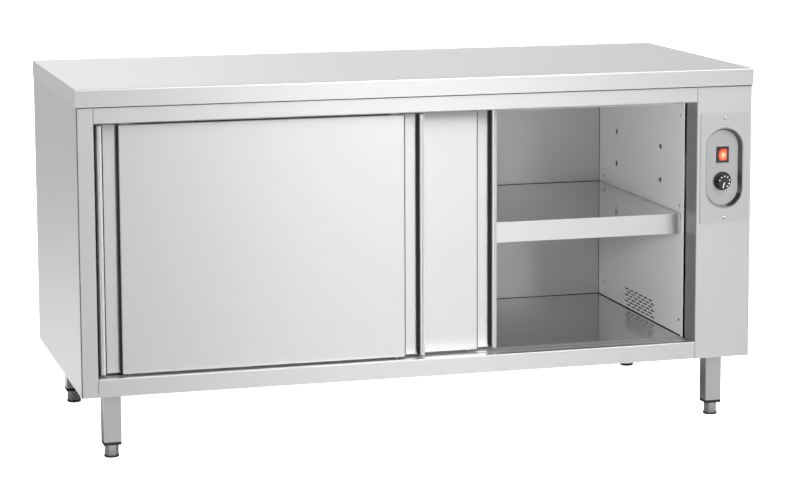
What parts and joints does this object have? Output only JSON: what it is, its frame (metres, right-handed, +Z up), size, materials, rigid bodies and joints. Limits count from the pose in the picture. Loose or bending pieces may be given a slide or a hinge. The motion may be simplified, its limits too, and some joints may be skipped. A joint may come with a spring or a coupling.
{
  "type": "plate warmer cabinet",
  "caption": "Free-standing heated plate cupboard with a flat worktop, two sliding doors on top tracks, a shelf, a control column and levelling feet.",
  "frame": {"origin": "on the floor, below the middle of the worktop", "axes": "+Z up, +X to the right along the front, +Y from the front to the back; the doors face -Y"},
  "size_m": [1.6, 0.7, 0.84],
  "materials": {
    "steel": "brushed stainless sheet, satin",
    "inner_steel": "bright stainless lining",
    "aluminium": "mill finish extrusion",
    "zinc_steel": "zinc plated",
    "galvanised": "galvanised sheet",
    "element": "heat tinted sheath",
    "motor_grey": "painted",
    "black_plastic": "moulded, fine grain",
    "black_rubber": "matt",
    "nylon": "moulded",
    "red_lens": "clear red, lit",
    "board": "raw chipboard",
    "wool": "mineral wool slab"
  },
  "bodies": {
    "cabinet": {"worktop": "steel", "worktop_core": "board", "side_panel_left": "steel", "side_panel_right": "steel", "rear_panel": "steel", "base_pan": "steel", "front_stile": "steel", "control_column": "steel", "top_rail": "steel", "bottom_rail": "steel", "inner_wall_left": "inner_steel", "inner_wall_right": "inner_steel", "inner_wall_back": "inner_steel", "ceiling": "inner_steel", "deck": "inner_steel", "insulation": "wool", "shelf_pegs": "zinc_steel", "door_track": "aluminium", "bottom_track": "aluminium", "control_plate": "steel", "plate_screws": "zinc_steel", "switch_body": "black_plastic", "thermostat": "galvanised", "heater_box": "galvanised", "heating_element": "element", "fan_motor": "motor_grey", "cable_gland": "black_plastic", "leg_front_left": "steel", "leg_front_right": "steel", "leg_back_left": "steel", "leg_back_right": "steel", "leg_caps": "black_plastic"},
    "front_door": {"front_door_panel": "steel", "front_door_core": "wool", "front_door_handle_left": "steel", "front_door_handle_right": "steel", "front_door_grips": "black_plastic", "front_door_hangers": "zinc_steel"},
    "rear_door": {"rear_door_panel": "steel", "rear_door_core": "wool", "rear_door_handle_left": "steel", "rear_door_handle_right": "steel", "rear_door_grips": "black_plastic", "rear_door_hangers": "zinc_steel"},
    "front_roller_left": {"front_door_roller_left": "nylon"},
    "front_roller_right": {"front_door_roller_right": "nylon"},
    "rear_roller_left": {"rear_door_roller_left": "nylon"},
    "rear_roller_right": {"rear_door_roller_right": "nylon"},
    "rocker": {"switch_rocker": "red_lens"},
    "knob": {"control_knob": "black_plastic"},
    "fan": {"fan_wheel": "galvanised"},
    "shelf": {"shelf": "inner_steel"},
    "foot_front_left": {"foot_front_left": "zinc_steel", "foot_pad_front_left": "black_rubber"},
    "foot_front_right": {"foot_front_right": "zinc_steel", "foot_pad_front_right": "black_rubber"},
    "foot_back_left": {"foot_back_left": "zinc_steel", "foot_pad_back_left": "black_rubber"},
    "foot_back_right": {"foot_back_right": "zinc_steel", "foot_pad_back_right": "black_rubber"}
  },
  "joints": [
    {"name": "front_door_slide", "type": "slide", "parent": "cabinet", "child": "front_door", "axis": [1, 0, 0], "range_m": [0, 0.651]},
    {"name": "rear_door_slide", "type": "slide", "parent": "cabinet", "child": "rear_door", "axis": [1, 0, 0], "range_m": [-0.183, 0.468]},
    {"name": "front_roller_left_spin", "type": "hinge", "parent": "front_door", "child": "front_roller_left", "pos_m": [-0.685, -0.32225, 0.7823], "axis": [0, 1, 0], "range_deg": [-5, 3740]},
    {"name": "front_roller_right_spin", "type": "hinge", "parent": "front_door", "child": "front_roller_right", "pos_m": [-0.066, -0.32225, 0.7823], "axis": [0, 1, 0], "range_deg": [-5, 3740]},
    {"name": "rear_roller_left_spin", "type": "hinge", "parent": "rear_door", "child": "rear_roller_left", "pos_m": [-0.502, -0.29125, 0.7823], "axis": [0, 1, 0], "range_deg": [-1060, 2690]},
    {"name": "rear_roller_right_spin", "type": "hinge", "parent": "rear_door", "child": "rear_roller_right", "pos_m": [0.117, -0.29125, 0.7823], "axis": [0, 1, 0], "range_deg": [-1060, 2690]},
    {"name": "rocker_tilt", "type": "hinge", "parent": "cabinet", "child": "rocker", "pos_m": [0.73, -0.333, 0.6355], "axis": [1, 0, 0], "range_deg": [-16, 0]},
    {"name": "knob_turn", "type": "hinge", "parent": "cabinet", "child": "knob", "pos_m": [0.73, -0.333, 0.5725], "axis": [0, 1, 0], "range_deg": [0, 270]},
    {"name": "fan_spin", "type": "hinge", "parent": "cabinet", "child": "fan", "pos_m": [0.7072, 0.01, 0.2638], "axis": [1, 0, 0], "continuous": true},
    {"name": "shelf_lift", "type": "slide", "parent": "cabinet", "child": "shelf", "axis": [0, 0, 1], "range_m": [0, 0.2]},
    {"name": "foot_front_left_screw", "type": "slide", "parent": "cabinet", "child": "foot_front_left", "axis": [0, 0, -1], "range_m": [0, 0.035]},
    {"name": "foot_front_right_screw", "type": "slide", "parent": "cabinet", "child": "foot_front_right", "axis": [0, 0, -1], "range_m": [0, 0.035]},
    {"name": "foot_back_left_screw", "type": "slide", "parent": "cabinet", "child": "foot_back_left", "axis": [0, 0, -1], "range_m": [0, 0.035]},
    {"name": "foot_back_right_screw", "type": "slide", "parent": "cabinet", "child": "foot_back_right", "axis": [0, 0, -1], "range_m": [0, 0.035]}
  ],
  "couplings": [
    {"joint": "front_roller_left_spin", "follows": "front_door_slide", "rad_per_m": 100},
    {"joint": "front_roller_right_spin", "follows": "front_door_slide", "rad_per_m": 100},
    {"joint": "rear_roller_left_spin", "follows": "rear_door_slide", "rad_per_m": 100},
    {"joint": "rear_roller_right_spin", "follows": "rear_door_slide", "rad_per_m": 100}
  ]
}
